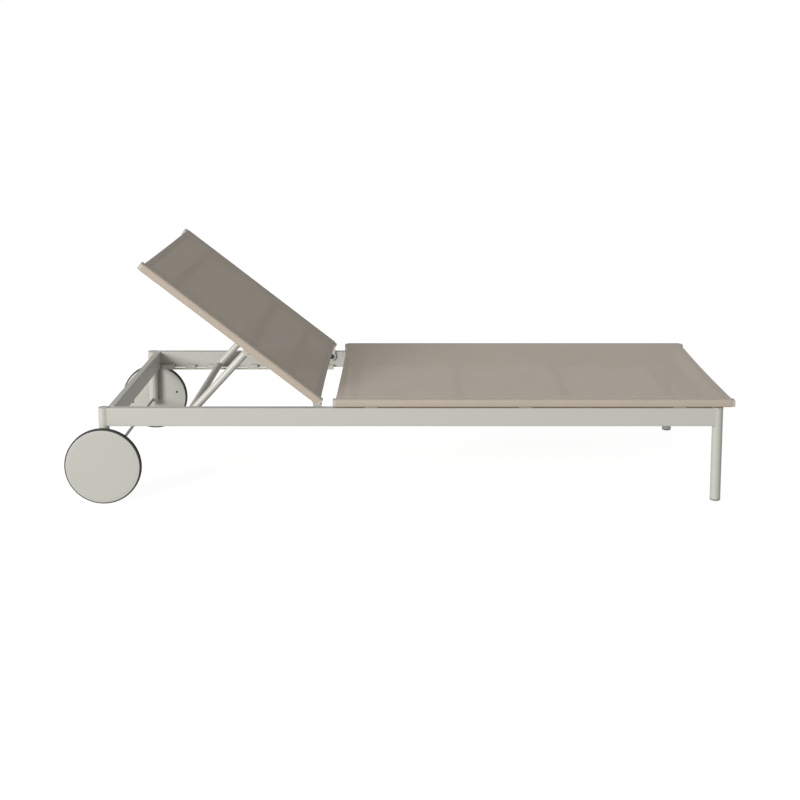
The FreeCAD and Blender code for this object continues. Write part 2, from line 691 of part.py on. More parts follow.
def make_prop():
    """Two arms, the bar between them and the pins that ride in the racks."""
    write_pair("prop_arm", sloped(prop_arm()))
    foot = prop_foot()
    reach = PROP_ARM_CENTRE - PROP_ARM_DIAMETER / 2
    write("prop_bar", rod_y(foot.x, foot.z, PROP_BAR_DIAMETER / 2, -reach, reach))
    pin_start = PROP_ARM_CENTRE + PROP_ARM_DIAMETER / 2
    pin = rod_y(foot.x, foot.z, END_PIN_DIAMETER / 2, pin_start, RAIL_INNER - 2.0)
    write("prop_end_pins", both_sides([pin]))


os.makedirs("parts", exist_ok=True)
make_frame()
make_racks()
make_wheels()
make_seat()
make_backrest()
make_prop()
print("total length", round(TOTAL_LENGTH, 1), "pivot", round(PIVOT_X, 2), round(PIVOT_Z, 2))
print("prop pivot", round(prop_pivot().x, 2), round(prop_pivot().z, 2), "slope", round(prop_slope(), 2))
print("prop foot", round(prop_foot().x, 2), round(prop_foot().z, 2), "rear axle", round(REAR_X, 2))
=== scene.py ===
# %% [markdown]
# # A reclining sun lounger
# The lounger is a frame of painted aluminium tube with two stretched cloths, one fixed and one that
# tilts. The frame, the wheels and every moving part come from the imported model. This file gives them
# their finishes, and makes the cloth, the stitching, the caps, the tyres and the small hardware.

# %% Load the frame
import json
import math

import bmesh
import bpy
from mathutils import Matrix, Vector


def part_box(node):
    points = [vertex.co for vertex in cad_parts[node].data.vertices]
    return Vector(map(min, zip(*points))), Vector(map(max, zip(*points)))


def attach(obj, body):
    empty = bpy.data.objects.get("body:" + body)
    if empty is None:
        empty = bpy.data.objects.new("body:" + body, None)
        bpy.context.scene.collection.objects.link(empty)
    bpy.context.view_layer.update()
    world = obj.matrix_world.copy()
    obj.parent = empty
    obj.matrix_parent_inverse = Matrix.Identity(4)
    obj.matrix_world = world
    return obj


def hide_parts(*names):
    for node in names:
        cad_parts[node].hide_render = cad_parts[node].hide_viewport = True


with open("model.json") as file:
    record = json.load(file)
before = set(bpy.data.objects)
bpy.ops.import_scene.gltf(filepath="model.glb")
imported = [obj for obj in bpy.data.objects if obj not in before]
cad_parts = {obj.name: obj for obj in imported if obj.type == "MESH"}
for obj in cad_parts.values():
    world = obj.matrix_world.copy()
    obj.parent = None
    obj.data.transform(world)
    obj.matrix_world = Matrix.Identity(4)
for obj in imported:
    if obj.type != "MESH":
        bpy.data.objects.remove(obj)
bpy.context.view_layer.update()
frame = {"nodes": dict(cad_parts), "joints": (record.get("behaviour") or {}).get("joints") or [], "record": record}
nodes = frame["nodes"]
joints = {joint["name"]: joint for joint in frame["joints"]}

# %% [markdown]
# Some pieces belong to the backrest, which stands at an angle. They are modelled lying flat, like the
# seat, and then turned up about the hinge. The hinge and the angle are read from the backrest's joint in
# the frame's record, so they follow the frame if the frame changes.

# %% The backrest's angle
MM = 0.001
pivot = Vector(joints["backrest_tilt"]["pos_m"])
resting_tilt = math.radians(-joints["backrest_tilt"]["range_deg"][0])
turn_up = (Matrix.Translation(pivot) @ Matrix.Rotation(resting_tilt, 4, "Y")
           @ Matrix.Translation(-pivot))
lay_flat = turn_up.inverted()


def flat_box(node):
    """Lowest and highest corners of a backrest node after it is laid flat."""
    points = [lay_flat @ vertex.co for vertex in nodes[node].data.vertices]
    low = Vector([min(point[axis] for point in points) for axis in range(3)])
    high = Vector([max(point[axis] for point in points) for axis in range(3)])
    return low, high


print("resting tilt", round(math.degrees(resting_tilt), 1), "degrees about", tuple(pivot))

# %% [markdown]
# ## Camera
# A low camera with a medium lens looks across the lounger from its right-hand side. The object stands
# in the upper half of the square view, so the lens is shifted instead of the camera being tilted more,
# which keeps the verticals nearly upright.

# %% Camera
CAMERA_PLACE = Vector((0.031, -4.261, 1.382))
CAMERA_PITCH = math.radians(7.7)
CAMERA_LENS = 57.5
CAMERA_SENSOR = 36.0
CAMERA_SHIFT = (-0.0119, -0.2125)
camera_data = bpy.data.cameras.new("camera")
camera_data.lens = CAMERA_LENS
camera_data.sensor_width = CAMERA_SENSOR
camera_data.shift_x, camera_data.shift_y = CAMERA_SHIFT
camera = bpy.data.objects.new("camera", camera_data)
camera.location = CAMERA_PLACE
camera.rotation_euler = (math.radians(90) - CAMERA_PITCH, 0, 0)
bpy.context.scene.collection.objects.link(camera)
bpy.context.scene.camera = camera
print("camera", tuple(camera.location), "lens", camera_data.lens)

# %% [markdown]
# ## Light
# The studio is white all round. A wide soft lamp stands to the front and left, a little above the
# lounger, and does most of the work, so faces that look to the right fall into shade. The world
# gives an even fill, which is weaker than the white that the camera sees behind the lounger.

# %% World
FILL = 0.53
BACKDROP = 1.0
scene = bpy.context.scene
scene.view_settings.view_transform = "Standard"
world = bpy.data.worlds.new("studio")
scene.world = world
world.use_nodes = True
sky = world.node_tree
background = sky.nodes["Background"]
light_path = sky.nodes.new("ShaderNodeLightPath")
brightness = sky.nodes.new("ShaderNodeMapRange")
brightness.inputs["To Min"].default_value = FILL
brightness.inputs["To Max"].default_value = BACKDROP
sky.links.new(light_path.outputs["Is Camera Ray"], brightness.inputs["Value"])
sky.links.new(brightness.outputs["Result"], background.inputs["Strength"])
background.inputs["Color"].default_value = (1, 1, 1, 1)
print("fill", FILL, "backdrop", BACKDROP)

# %% [markdown]
# The key lamp is an area lamp, as large as a studio soft box. It is aimed by turning its own -Z axis
# from its place to its target.

# %% Key lamp
KEY_PLACE = (-7.5, -8.9, 3.9)
KEY_TARGET = (0, 0, 0.3)
KEY_SIZE = 4.5
KEY_POWER = 1620


def soft_lamp(name, place, target, size, power):
    """A square area lamp aimed at a point."""
    data = bpy.data.lights.new(name, "AREA")
    data.size = size
    data.energy = power
    lamp = bpy.data.objects.new(name, data)
    lamp.location = place
    lamp.rotation_euler = (Vector(target) - Vector(place)).to_track_quat("-Z", "Y").to_euler()
    scene.collection.objects.link(lamp)
    return lamp


key = soft_lamp("key_lamp", KEY_PLACE, KEY_TARGET, KEY_SIZE, KEY_POWER)
print("lamp", key.name, "power", key.data.energy)

# %% [markdown]
# The floor is a pale sheet. It glows, as a lit white sweep does, so that it meets the backdrop
# without a line and still takes a faint shadow. It throws no light back at the lounger, so the shade
# under the rails stays as deep as the fill makes it.

# %% Floor
FLOOR_HALF = 3.5
FLOOR_GREY = (0.17, 0.17, 0.17, 1)
FLOOR_GLOW = 0.9
floor_mesh = bpy.data.meshes.new("floor")
corners = [(-FLOOR_HALF, -FLOOR_HALF, 0), (FLOOR_HALF, -FLOOR_HALF, 0),
           (FLOOR_HALF, FLOOR_HALF, 0), (-FLOOR_HALF, FLOOR_HALF, 0)]
floor_mesh.from_pydata(corners, [], [(0, 1, 2, 3)])
floor = bpy.data.objects.new("floor", floor_mesh)
scene.collection.objects.link(floor)
floor_finish = bpy.data.materials.new("white_sweep")
floor_finish.use_nodes = True
floor_shader = floor_finish.node_tree.nodes["Principled BSDF"]
floor_shader.inputs["Base Color"].default_value = FLOOR_GREY
floor_shader.inputs["Roughness"].default_value = 1.0
floor_shader.inputs["Emission Color"].default_value = (1, 1, 1, 1)
floor_shader.inputs["Emission Strength"].default_value = FLOOR_GLOW
floor_mesh.materials.append(floor_finish)
floor.visible_diffuse = False
floor.visible_glossy = False
print("floor", floor.name)

# %% [markdown]
# ## Finishes
# Every finish starts from the same few nodes: a shader, the piece's own coordinates, a noise that
# varies the colour and the gloss a little, and a bump. One helper makes them, and each finish below
# gives it that material's own numbers. A colour mix has several sockets of the same name, so its
# colour sockets are found by their numbers.

# %% Nodes that every finish uses
MIX_FIRST = 6
MIX_SECOND = 7
MIX_RESULT = 2


def mix_colours(tree, factor, first, second):
    """A colour mix of two fixed colours by a factor socket, and its output socket."""
    mix = tree.nodes.new("ShaderNodeMix")
    mix.data_type = "RGBA"
    tree.links.new(factor, mix.inputs["Factor"])
    mix.inputs[MIX_FIRST].default_value = (*first, 1)
    mix.inputs[MIX_SECOND].default_value = (*second, 1)
    return mix.outputs[MIX_RESULT]


def noise_socket(tree, coordinates, scale, detail):
    """A noise texture on the given coordinates, and its factor socket."""
    noise = tree.nodes.new("ShaderNodeTexNoise")
    noise.inputs["Scale"].default_value = scale
    noise.inputs["Detail"].default_value = detail
    tree.links.new(coordinates, noise.inputs["Vector"])
    return noise.outputs["Fac"]


def add_bump(tree, shader, height, strength, distance):
    """A bump from a height socket into the shader's normal."""
    bump = tree.nodes.new("ShaderNodeBump")
    bump.inputs["Strength"].default_value = strength
    bump.inputs["Distance"].default_value = distance
    tree.links.new(height, bump.inputs["Height"])
    tree.links.new(bump.outputs["Normal"], shader.inputs["Normal"])


print("helpers", mix_colours.__name__, noise_socket.__name__, add_bump.__name__)

# %% [markdown]
# One function covers paint, moulded plastic, rubber and steel. They differ in their two tones, their
# gloss, the size and depth of their grain, and whether they are metal.

# %% A grained finish
DRIFT_SCALE = 6.0
GLOSS_SCALE = 40.0
GLOSS_SPREAD = 0.06
GRAIN_STRENGTH = 0.35


def grained_finish(name, light, dark, roughness, grain_scale, grain_depth, metallic=0.0, coat=0.0):
    """A finish whose colour drifts between two tones, with a fine grain in its surface."""
    material = bpy.data.materials.new(name)
    material.use_nodes = True
    tree = material.node_tree
    shader = tree.nodes["Principled BSDF"]
    shader.inputs["Metallic"].default_value = metallic
    shader.inputs["Coat Weight"].default_value = coat
    coordinates = tree.nodes.new("ShaderNodeTexCoord").outputs["Object"]
    drift = noise_socket(tree, coordinates, DRIFT_SCALE, 3.0)
    tree.links.new(mix_colours(tree, drift, light, dark), shader.inputs["Base Color"])
    gloss = tree.nodes.new("ShaderNodeMapRange")
    gloss.inputs["To Min"].default_value = roughness - GLOSS_SPREAD
    gloss.inputs["To Max"].default_value = roughness + GLOSS_SPREAD
    tree.links.new(noise_socket(tree, coordinates, GLOSS_SCALE, 4.0), gloss.inputs["Value"])
    tree.links.new(gloss.outputs["Result"], shader.inputs["Roughness"])
    grain = noise_socket(tree, coordinates, grain_scale, 2.0)
    add_bump(tree, shader, grain, GRAIN_STRENGTH, grain_depth)
    return material


print("helper", grained_finish.__name__, "with gloss varied by", GLOSS_SPREAD)

# %% [markdown]
# The metal is powder coated: a thick matt-satin paint, baked on, with the slight orange peel that
# such paint has. The frame and the moving parts share the colour, a warm light grey.

# %% Paint, plastic, rubber and steel
paint = grained_finish("powder_coat", (0.42, 0.415, 0.372), (0.40, 0.395, 0.352), 0.42, 700.0, 0.00006)
cover_paint = grained_finish("wheel_cover_satin", (0.395, 0.39, 0.35), (0.378, 0.373, 0.333), 0.4, 500.0,
                             0.00004)
profile_paint = grained_finish("profile_coat", (0.415, 0.395, 0.35), (0.395, 0.375, 0.33), 0.42, 700.0,
                               0.00006)
cap_plastic = grained_finish("cap_plastic", (0.41, 0.39, 0.345), (0.38, 0.36, 0.315), 0.5, 900.0, 0.00008)
core_plastic = grained_finish("core_plastic", (0.20, 0.20, 0.19), (0.17, 0.17, 0.16), 0.55, 900.0, 0.0001)
bush_plastic = grained_finish("bush_plastic", (0.70, 0.70, 0.66), (0.66, 0.66, 0.62), 0.35, 900.0, 0.00004)
rubber = grained_finish("rubber", (0.018, 0.018, 0.018), (0.026, 0.026, 0.025), 0.7, 1200.0, 0.00012)
foot_plastic = grained_finish("foot_plastic", (0.26, 0.26, 0.24), (0.22, 0.22, 0.20), 0.5, 1200.0, 0.0001)
steel = grained_finish("zinc_steel", (0.42, 0.42, 0.41), (0.33, 0.33, 0.32), 0.32, 1500.0, 0.00003,
                       metallic=1.0)
dark_steel = grained_finish("dark_steel", (0.10, 0.10, 0.10), (0.07, 0.07, 0.07), 0.38, 1500.0, 0.00003,
                            metallic=1.0)
print("finishes", len(bpy.data.materials))

# %% [markdown]
# The cloth is an open mesh woven from coated yarn. Its weave follows the cloth, so it is drawn on the
# piece's own map, which is laid out in metres: sines across and along the cloth rise where one yarn
# passes over the other. A little light comes through, so the shader is slightly transparent and the
# bars under the cloth show as soft lines.

# %% The weave
YARN_PITCH = 1.6 * MM


def sine_socket(tree, value, pitch):
    """The sine of a length, with one wave for each pitch."""
    times = tree.nodes.new("ShaderNodeMath")
    times.operation = "MULTIPLY"
    times.inputs[1].default_value = math.tau / pitch
    tree.links.new(value, times.inputs[0])
    sine = tree.nodes.new("ShaderNodeMath")
    sine.operation = "SINE"
    tree.links.new(times.outputs[0], sine.inputs[0])
    return sine.outputs[0]


def weave_socket(tree, cloth_map):
    """The height of the weave, from 0 to 1, from the sines across and along the cloth."""
    split = tree.nodes.new("ShaderNodeSeparateXYZ")
    tree.links.new(cloth_map.outputs["UV"], split.inputs[0])
    across = sine_socket(tree, split.outputs["X"], YARN_PITCH)
    along = sine_socket(tree, split.outputs["Y"], YARN_PITCH)
    weave = tree.nodes.new("ShaderNodeMath")
    weave.operation = "MULTIPLY"
    tree.links.new(across, weave.inputs[0])
    tree.links.new(along, weave.inputs[1])
    height = tree.nodes.new("ShaderNodeMapRange")
    height.inputs["From Min"].default_value = -1.0
    tree.links.new(weave.outputs[0], height.inputs["Value"])
    return height.outputs["Result"]


print("yarn pitch", YARN_PITCH)

# %% [markdown]
# The two tones of the yarn are mixed by the weave's height, and a slow noise makes the cloth a little
# lighter and darker from place to place. The same height makes the bump. The hems and the sewing
# thread are close-woven, so the grained finish is enough for them.

# %% Mesh cloth and thread
TONE_DRIFT = 0.06


def mesh_cloth(name, warp, weft, see_through):
    """Woven coated yarn in two tones."""
    material = bpy.data.materials.new(name)
    material.use_nodes = True
    tree = material.node_tree
    shader = tree.nodes["Principled BSDF"]
    shader.inputs["Roughness"].default_value = 0.62
    shader.inputs["Sheen Weight"].default_value = 0.12
    shader.inputs["Sheen Roughness"].default_value = 0.5
    shader.inputs["Alpha"].default_value = 1.0 - see_through
    cloth_map = tree.nodes.new("ShaderNodeUVMap")
    cloth_map.uv_map = "cloth"
    height = weave_socket(tree, cloth_map)
    yarns = mix_colours(tree, height, warp, weft)
    drift = noise_socket(tree, cloth_map.outputs["UV"], 9.0, 4.0)
    tone = tree.nodes.new("ShaderNodeMapRange")
    tone.inputs["To Min"].default_value = 1 - TONE_DRIFT
    tone.inputs["To Max"].default_value = 1 + TONE_DRIFT
    tree.links.new(drift, tone.inputs["Value"])
    shade = tree.nodes.new("ShaderNodeVectorMath")
    shade.operation = "SCALE"
    tree.links.new(yarns, shade.inputs[0])
    tree.links.new(tone.outputs["Result"], shade.inputs["Scale"])
    tree.links.new(shade.outputs[0], shader.inputs["Base Color"])
    add_bump(tree, shader, height, 0.6, 0.0003)
    return material


cloth = mesh_cloth("mesh_cloth", (0.46, 0.396, 0.313), (0.36, 0.305, 0.243), 0.125)
hem_cloth = grained_finish("hem_cloth", (0.40, 0.35, 0.28), (0.35, 0.30, 0.24), 0.62, 1500.0, 0.0002)
thread = grained_finish("sewing_thread", (0.42, 0.37, 0.31), (0.37, 0.325, 0.27), 0.6, 2500.0, 0.0001)
print("cloth", cloth.name, "thread", thread.name)

# %% [markdown]
# The frame's own nodes keep their shape and take these finishes. Each node has one slot in the
# record, and the slot says what it is made of.

# %% Finishes on the frame's nodes
slot_finish = {"frame_metal": paint, "panel_metal": paint, "plugs": cap_plastic, "glide": foot_plastic,
               "seat_cloth": cloth, "back_cloth": cloth, "wheel_cover": cover_paint,
               "wheel_core": core_plastic, "tyre": rubber, "bush": bush_plastic, "axle_metal": steel,
               "fixings": dark_steel}
for subpart in frame["record"]["subparts"]:
    node = nodes[subpart["node"]]
    node.data.materials.clear()
    node.data.materials.append(slot_finish[subpart["material_slot"]])
nodes["prop_pins"].data.materials[0] = paint
for panel in ("seat_side_", "back_side_"):
    for side in ("left", "right"):
        nodes[panel + side].data.materials[0] = profile_paint

# %% [markdown]
# ## Helpers for new pieces
# A new piece is a mesh whose object stays at the origin. One helper makes the object, gives it its
# finish and hangs it on its body. The others shade a mesh, and turn the result of an object's
# modifiers into a plain mesh.

# %% Making a piece
def make_piece(name, mesh, finish, body, slot_name, replaced=()):
    """Turns a finished mesh into a piece that rides on a body and stands for some nodes."""
    mesh.materials.clear()
    mesh.materials.append(finish)
    mesh.polygons.foreach_set("material_index", [0] * len(mesh.polygons))
    piece = bpy.data.objects.new(name, mesh)
    scene.collection.objects.link(piece)
    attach(piece, body)
    if replaced:
        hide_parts(*replaced)
    return piece


def smooth(mesh, angle=35):
    """Smooth shading, with edges sharper than an angle kept crisp."""
    mesh.shade_smooth()
    mesh.set_sharp_from_angle(angle=math.radians(angle))
    return mesh


def plain_mesh(maker, name):
    """The result of an object's modifiers as a plain mesh, after which the maker is removed."""
    bpy.context.view_layer.update()
    depsgraph = bpy.context.evaluated_depsgraph_get()
    mesh = bpy.data.meshes.new_from_object(maker.evaluated_get(depsgraph))
    mesh.name = name
    bpy.data.objects.remove(maker)
    return mesh


print("helpers", make_piece.__name__, smooth.__name__, plain_mesh.__name__)

# %% [markdown]
# One helper reads the frame. It splits a node into its separate solids and gives each one's box, so
# that caps, screws and welds go exactly where the frame has them. It walks from vertex to vertex
# along the edges, and what it can reach is one solid.

# %% Reading the frame's solids
def solids_of(node, place=Matrix.Identity(4)):
    """The lowest and highest corners of each separate solid in a node, after a transform."""
    work = bmesh.new()
    work.from_mesh(nodes[node].data)
    bmesh.ops.transform(work, matrix=place, verts=work.verts)
    bmesh.ops.remove_doubles(work, verts=work.verts, dist=1e-6)
    boxes = []
    waiting = set(work.verts)
    while waiting:
        found = set()
        front = [waiting.pop()]
        while front:
            vertex = front.pop()
            found.add(vertex)
            neighbours = {edge.other_vert(vertex) for edge in vertex.link_edges} & waiting
            waiting -= neighbours
            front.extend(neighbours)
        low = Vector([min(vertex.co[axis] for vertex in found) for axis in range(3)])
        high = Vector([max(vertex.co[axis] for vertex in found) for axis in range(3)])
        boxes.append((low, high))
    work.free()
    return sorted(boxes, key=lambda pair: tuple(pair[0]))


def middle(pair):
    """The middle of a box."""
    return (pair[0] + pair[1]) / 2


print("the seat has", len(solids_of("seat_crossbars")), "crossbars")

# %% [markdown]
# ## The two cloths
# On the real lounger the cloth is cut wider than the frame. Each long edge is wrapped round a side
# profile, over the top, down the outside and in underneath, and sewn into a sleeve. The ends are
# turned under into a hem. The cloth is stretched, so it sags only a few millimetres between its
# supports. The mesh follows that: one outline across the lounger, repeated along it, with a sag
# that fades to nothing at the profiles. Solidify then gives it its thickness.

# %% The outline across the cloth
CLOTH_THICKNESS = 1.1 * MM
CORNER_RADIUS = 7.5 * MM
CORNER_STEPS = 8
UNDER_TUCK = 12 * MM
SAG = 4 * MM
ACROSS_STEPS = 64


def edge_outline(half_width, top, bottom):
    """Points (y, z) of the wrap at the +Y side: from the top, down the side, to the tuck."""
    points = []
    centre_y = half_width - CORNER_RADIUS
    for centre_z, start in ((top - CORNER_RADIUS, 90.0), (bottom + CORNER_RADIUS, 0.0)):
        for step in range(CORNER_STEPS + 1):
            angle = math.radians(start - 90.0 * step / CORNER_STEPS)
            points.append((centre_y + CORNER_RADIUS * math.cos(angle),
                           centre_z + CORNER_RADIUS * math.sin(angle)))
    points.append((half_width - UNDER_TUCK, bottom))
    return points


def cloth_outline(half_width, top, bottom):
    """Points (y, z) across the whole cloth, from the -Y tuck to the +Y tuck."""
    edge = edge_outline(half_width, top, bottom)
    reach = edge[0][0]
    across = []
    for step in range(1, ACROSS_STEPS):
        across.append((-reach + 2 * reach * step / ACROSS_STEPS, top))
    left = [(-y, z) for y, z in reversed(edge)]
    return left + across + edge


print("points round one edge", len(edge_outline(CORNER_RADIUS, CORNER_RADIUS, 0.0)))

# %% [markdown]
# The cloth's map is laid out in metres, one axis across and one along, so that the weave keeps its
# size round the corners. The sag is a smooth bowl between the side profiles. It is held up where a
# crossbar passes, which gives the faint ripple that a used sling has.

# %% The cloth mesh
ALONG_STEP = 18 * MM
PROFILE_WIDTH = 30 * MM
RIPPLE = 0.25
BAR_REACH = 50 * MM


def sag_at(x, y, half_width, bars):
    """How far the cloth hangs below its supports at a place."""
    inner = half_width - PROFILE_WIDTH
    if abs(y) >= inner:
        return 0.0
    bowl = (1 - (y / inner) ** 2) ** 1.5
    near_bar = max(math.exp(-((x - bar) / BAR_REACH) ** 2) for bar in bars)
    return SAG * bowl * (1 - RIPPLE * near_bar)


def cloth_mesh(name, head, foot, half_width, top, bottom, bars):
    """A wrapped, slightly sagging cloth from head to foot, as a single layer."""
    outline = cloth_outline(half_width, top, bottom)
    distances = [0.0]
    for first, second in zip(outline, outline[1:]):
        distances.append(distances[-1] + math.dist(first, second))
    rows = max(2, round((foot - head) / ALONG_STEP))
    work = bmesh.new()
    cloth_map = work.loops.layers.uv.new("cloth")
    grid = []
    for row in range(rows + 1):
        x = head + (foot - head) * row / rows
        grid.append([work.verts.new((x, y, z - sag_at(x, y, half_width, bars))) for y, z in outline])
    for row in range(rows):
        for column in range(len(outline) - 1):
            corner_places = ((row, column), (row + 1, column),
                             (row + 1, column + 1), (row, column + 1))
            face = work.faces.new([grid[r][c] for r, c in corner_places])
            for loop, (r, c) in zip(face.loops, corner_places):
                loop[cloth_map].uv = (distances[c], (foot - head) * r / rows)
    mesh = bpy.data.meshes.new(name)
    work.to_mesh(mesh)
    work.free()
    return mesh, distances[-1]


def thicken(mesh, name):
    """The cloth's thickness, put on below its upper face."""
    maker = bpy.data.objects.new("maker", mesh)
    scene.collection.objects.link(maker)
    solid = maker.modifiers.new("thickness", "SOLIDIFY")
    solid.thickness = CLOTH_THICKNESS
    solid.offset = -1.0
    return plain_mesh(maker, name)


print("deepest sag", SAG, "held up by", RIPPLE, "at a crossbar")

# %% [markdown]
# The seat's cloth lies level. The backrest's is made lying flat in the same way and then turned up
# about the hinge with everything else on that body. A small record of each cloth's sizes is kept,
# because its hems and its stitches follow the same surface.

# %% Build the cloths
STAND_OUT = 1.2 * MM
seat_low, seat_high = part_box("seat_fabric")
back_low, back_high = flat_box("back_fabric")
half_cloth = seat_high.y + STAND_OUT
panels = {
    "seat": {"head": seat_low.x, "foot": seat_high.x, "top": seat_high.z, "body": "frame",
             "bottom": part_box("seat_side_left")[0].z - STAND_OUT, "turn": Matrix.Identity(4),
             "bars": [middle(pair).x for pair in solids_of("seat_crossbars")]},
    "back": {"head": back_low.x, "foot": back_high.x, "top": back_high.z, "body": "backrest",
             "bottom": flat_box("back_side_left")[0].z - STAND_OUT, "turn": turn_up,
             "bars": [middle(pair).x for pair in solids_of("back_crossbars", lay_flat)]},
}
for panel_name, panel in panels.items():
    layer, panel["cut"] = cloth_mesh("layer", panel["head"], panel["foot"], half_cloth, panel["top"],
                                     panel["bottom"], panel["bars"])
    mesh = thicken(layer, panel_name + "_cloth")
    mesh.transform(panel["turn"])
    panel["cloth"] = make_piece(panel_name + "_cloth", smooth(mesh, 60), cloth, panel["body"],
                                panel_name + "_cloth", [panel_name + "_fabric"])
    panel["length"] = panel["foot"] - panel["head"]
    print(panel_name, "cloth cut", round(panel["cut"], 3), "by", round(panel["length"], 3))

# %% [markdown]
# Hems, caps, tyres and small turned parts are all skins over a series of rings. One helper joins the
# rings and closes the ends, and another turns the faces outwards and writes the mesh.

# %% Skins over rings
def add_loft(work, rings, ends=True):
    """A skin over rings of points, with its two ends closed."""
    loops = [[work.verts.new(point) for point in ring] for ring in rings]
    count = len(loops[0])
    for first, second in zip(loops, loops[1:]):
        for index in range(count):
            after = (index + 1) % count
            work.faces.new((first[index], first[after], second[after], second[index]))
    if ends:
        work.faces.new(loops[0])
        work.faces.new(loops[-1])


def close_mesh(work, name):
    """Turns every face outwards and writes the work to a mesh."""
    bmesh.ops.remove_doubles(work, verts=work.verts, dist=1e-7)
    bmesh.ops.recalc_face_normals(work, faces=work.faces)
    mesh = bpy.data.meshes.new(name)
    work.to_mesh(mesh)
    work.free()
    return mesh


print("helpers", add_loft.__name__, close_mesh.__name__)

# %% [markdown]
# Each end of a cloth is folded under and sewn down. The hem is the strip of that fold: it lies just
# below the cloth, between the two profiles, with a round front edge.

# %% Hems
HEM_WIDTH = 22 * MM
HEM_CLEARANCE = 1.5 * MM
HEM_ROUND_STEPS = 5


def hem_outline():
    """Points (along, down) of a hem's closed outline, with the fold at the start."""
    radius = CLOTH_THICKNESS * 0.55
    points = []
    for step in range(HEM_ROUND_STEPS + 1):
        angle = math.radians(90 + 180 * step / HEM_ROUND_STEPS)
        points.append((radius + radius * math.cos(angle), radius - radius * math.sin(angle)))
    return points + [(HEM_WIDTH, 2 * radius), (HEM_WIDTH, 0.0)]


def hem_mesh(panel):
    """Both hems of a panel, below its cloth."""
    outline = hem_outline()
    reach = half_cloth - PROFILE_WIDTH - HEM_CLEARANCE
    work = bmesh.new()
    for end, inward in ((panel["head"], 1), (panel["foot"], -1)):
        rings = []
        for step in range(ACROSS_STEPS + 1):
            y = -reach + 2 * reach * step / ACROSS_STEPS
            drop = CLOTH_THICKNESS + sag_at(end, y, half_cloth, panel["bars"])
            rings.append([Vector((end + inward * along, y, panel["top"] - drop - down))
                          for along, down in outline])
        add_loft(work, rings)
    return close_mesh(work, "hems")


for panel_name, panel in panels.items():
    mesh = hem_mesh(panel)
    mesh.transform(panel["turn"])
    panel["hems"] = make_piece(panel_name + "_hems", smooth(mesh), hem_cloth, panel["body"],
                               panel_name + "_cloth")
    print(panel["hems"].name, len(mesh.polygons), "faces")

# %% [markdown]
# ## Three small node trees
# What repeats is made with Geometry Nodes. The first tree lays a small shape along a path at an even
# pitch, and turns each copy to follow the path: that is a row of stitches. The second puts a shape
# on every mark: screws, rivets, feet and plugs. The third draws a rippled bead along a path: a weld.
# Each tree has named inputs, and ends by making its copies real and giving them their finish.

# %% Starting, ending and running a tree
def start_tree(name, inputs):
    """A tree with a path going in, named inputs beside it, and a shape coming out."""
    tree = bpy.data.node_groups.new(name, "GeometryNodeTree")
    tree.interface.new_socket("Path", in_out="INPUT", socket_type="NodeSocketGeometry")
    for label, kind in inputs:
        tree.interface.new_socket(label, in_out="INPUT", socket_type="NodeSocket" + kind)
    tree.interface.new_socket("Finish", in_out="INPUT", socket_type="NodeSocketMaterial")
    tree.interface.new_socket("Shape", in_out="OUTPUT", socket_type="NodeSocketGeometry")
    return tree, tree.nodes.new("NodeGroupInput")


def end_tree(tree, entry, shape):
    """Makes the copies real, sets their finish and sends them out."""
    real = tree.nodes.new("GeometryNodeRealizeInstances")
    finish = tree.nodes.new("GeometryNodeSetMaterial")
    leave = tree.nodes.new("NodeGroupOutput")
    tree.links.new(shape, real.inputs["Geometry"])
    tree.links.new(real.outputs["Geometry"], finish.inputs["Geometry"])
    tree.links.new(entry.outputs["Finish"], finish.inputs["Material"])
    tree.links.new(finish.outputs["Geometry"], leave.inputs["Shape"])


def run_tree(tree, path, name, **values):
    """Runs a tree on a path mesh with the given inputs, and gives back a plain mesh."""
    maker = bpy.data.objects.new("maker", path)
    scene.collection.objects.link(maker)
    modifier = maker.modifiers.new("tree", "NODES")
    modifier.node_group = tree
    for item in tree.interface.items_tree:
        if item.in_out == "INPUT" and item.name in values:
            modifier[item.identifier] = values[item.name]
    return plain_mesh(maker, name)


def path_mesh(paths, closed=False):
    """Lines through lists of points, as a mesh of edges."""
    points = []
    edges = []
    for path in paths:
        start = len(points)
        points.extend(path)
        edges.extend((index, index + 1) for index in range(start, len(points) - 1))
        if closed:
            edges.append((len(points) - 1, start))
    mesh = bpy.data.meshes.new("path")
    mesh.from_pydata(points, edges, [])
    return mesh


print("helpers", start_tree.__name__, end_tree.__name__, run_tree.__name__, path_mesh.__name__)

# %% [markdown]
# The row tree turns the path into a curve, cuts it at an even pitch and puts a copy at each cut. The
# curve's tangent turns the copy, and a seeded random value makes each a little larger or smaller.

